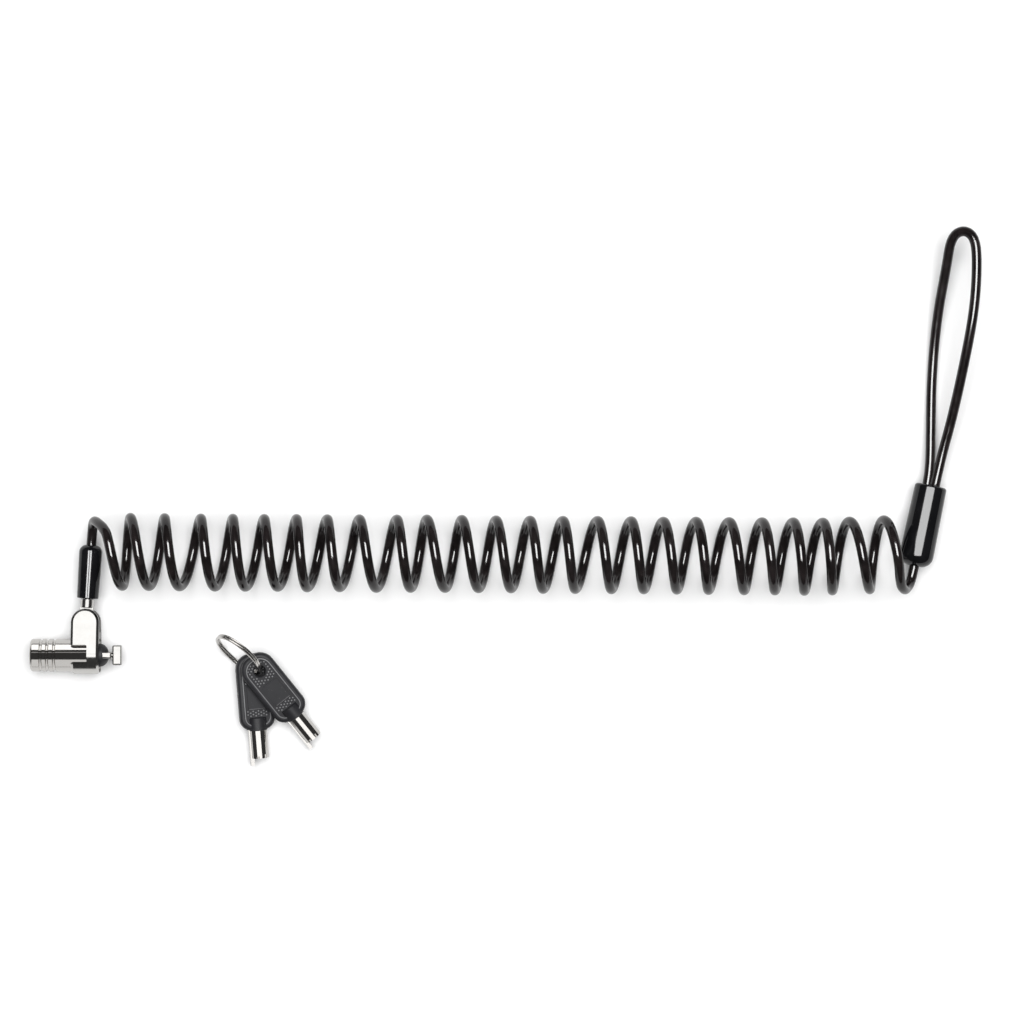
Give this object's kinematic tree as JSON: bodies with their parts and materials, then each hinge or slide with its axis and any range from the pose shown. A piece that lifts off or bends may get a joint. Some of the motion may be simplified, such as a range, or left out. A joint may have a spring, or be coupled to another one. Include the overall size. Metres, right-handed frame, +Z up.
{
  "type": "laptop cable lock",
  "caption": "Tubular-key laptop lock on a coiled vinyl-jacketed cable with an anchor loop, a swivelling T-bar head and a ring of keys.",
  "frame": {"origin": "middle of the lock, keys and loop sleeve, without the free cable, on the surface that they lie on", "axes": "+X runs along the coiled cable from the lock head to the anchor loop, +Z points up from the surface, +Y points to the side the anchor loop lies on"},
  "size_m": [0.2888, 0.1641, 0.0238],
  "materials": {
    "cable_jacket": "glossy clear-coated black vinyl over twisted wire",
    "black_moulding": "glossy moulded black vinyl",
    "plain_steel": "plain machined steel",
    "satin_steel": "satin-plated steel",
    "wire_rope": "twisted galvanised wire",
    "aluminium": "crimped",
    "chrome": "polished nickel-chrome plating",
    "brass": "machined",
    "dark_rubber": "dark grey soft rubber",
    "key_plastic": "matte black moulded plastic"
  },
  "bodies": {
    "cable": {"cable_lead": "cable_jacket", "cable_coil": "cable_jacket", "cable_tail": "cable_jacket", "cable_loop": "cable_jacket", "lock_end_sleeve": "black_moulding", "lock_end_ferrule": "plain_steel", "lock_end_rope": "wire_rope", "neck_bush": "plain_steel", "loop_sleeve": "black_moulding", "loop_ferrule": "aluminium", "loop_rope": "wire_rope"},
    "swivel": {"swivel_neck": "satin_steel"},
    "arm": {"swivel_arm": "satin_steel", "clevis_pin": "plain_steel", "hinge_washers": "plain_steel"},
    "lock": {"lock_barrel": "chrome", "snap_ring": "plain_steel", "keyway_bushing": "plain_steel", "stator": "brass", "body_pin": "plain_steel", "spring_plate": "plain_steel", "pin_springs": "plain_steel", "spacer_sleeve": "plain_steel", "thrust_washer": "plain_steel", "nose_cap": "plain_steel", "guide_pins": "chrome", "rubber_nose": "dark_rubber"},
    "drivers": {"driver_pins": "plain_steel"},
    "plug": {"lock_rotor": "brass", "key_pins": "plain_steel", "t_bar": "satin_steel"},
    "key_ring": {"split_ring": "chrome"},
    "key_a": {"key_a_head": "key_plastic", "key_a_tube": "chrome"},
    "key_b": {"key_b_head": "key_plastic", "key_b_tube": "chrome"}
  },
  "joints": [
    {"name": "cable_swivel", "type": "hinge", "parent": "cable", "child": "swivel", "pos_m": [-0.1221, 0.00973, 0.00572], "axis": [0.0663, 0.9978, 0], "continuous": true},
    {"name": "cable_swing", "type": "hinge", "parent": "swivel", "child": "arm", "pos_m": [-0.1227, 0.00075, 0.00572], "axis": [0, 0, 1], "range_deg": [-40, 40]},
    {"name": "arm_turn", "type": "hinge", "parent": "arm", "child": "lock", "pos_m": [-0.1227, -0.0092, 0.00572], "axis": [1, 0, 0], "continuous": true},
    {"name": "plug_turn", "type": "hinge", "parent": "lock", "child": "plug", "pos_m": [-0.1227, -0.0092, 0.00572], "axis": [1, 0, 0], "range_deg": [0, 90]},
    {"name": "tumbler_travel", "type": "slide", "parent": "lock", "child": "drivers", "axis": [1, 0, 0], "range_m": [0, 0.0012], "stiffness_N_per_m": 300, "springref_m": -0.001, "deforming": ["pin_springs"]},
    {"name": "ring_lift", "type": "slide", "parent": "cable", "child": "key_ring", "axis": [0, 0, 1], "range_m": [0, 0.06]},
    {"name": "key_a_swing", "type": "hinge", "parent": "key_ring", "child": "key_a", "pos_m": [-0.0697, -0.01385, 0.00805], "axis": [0.1164, -0.149, 0.982], "range_deg": [0, 50]},
    {"name": "key_b_swing", "type": "hinge", "parent": "key_ring", "child": "key_b", "pos_m": [-0.0719, -0.0141, 0.00425], "axis": [0.2954, -0.0275, 0.955], "range_deg": [-50, 0]}
  ]
}
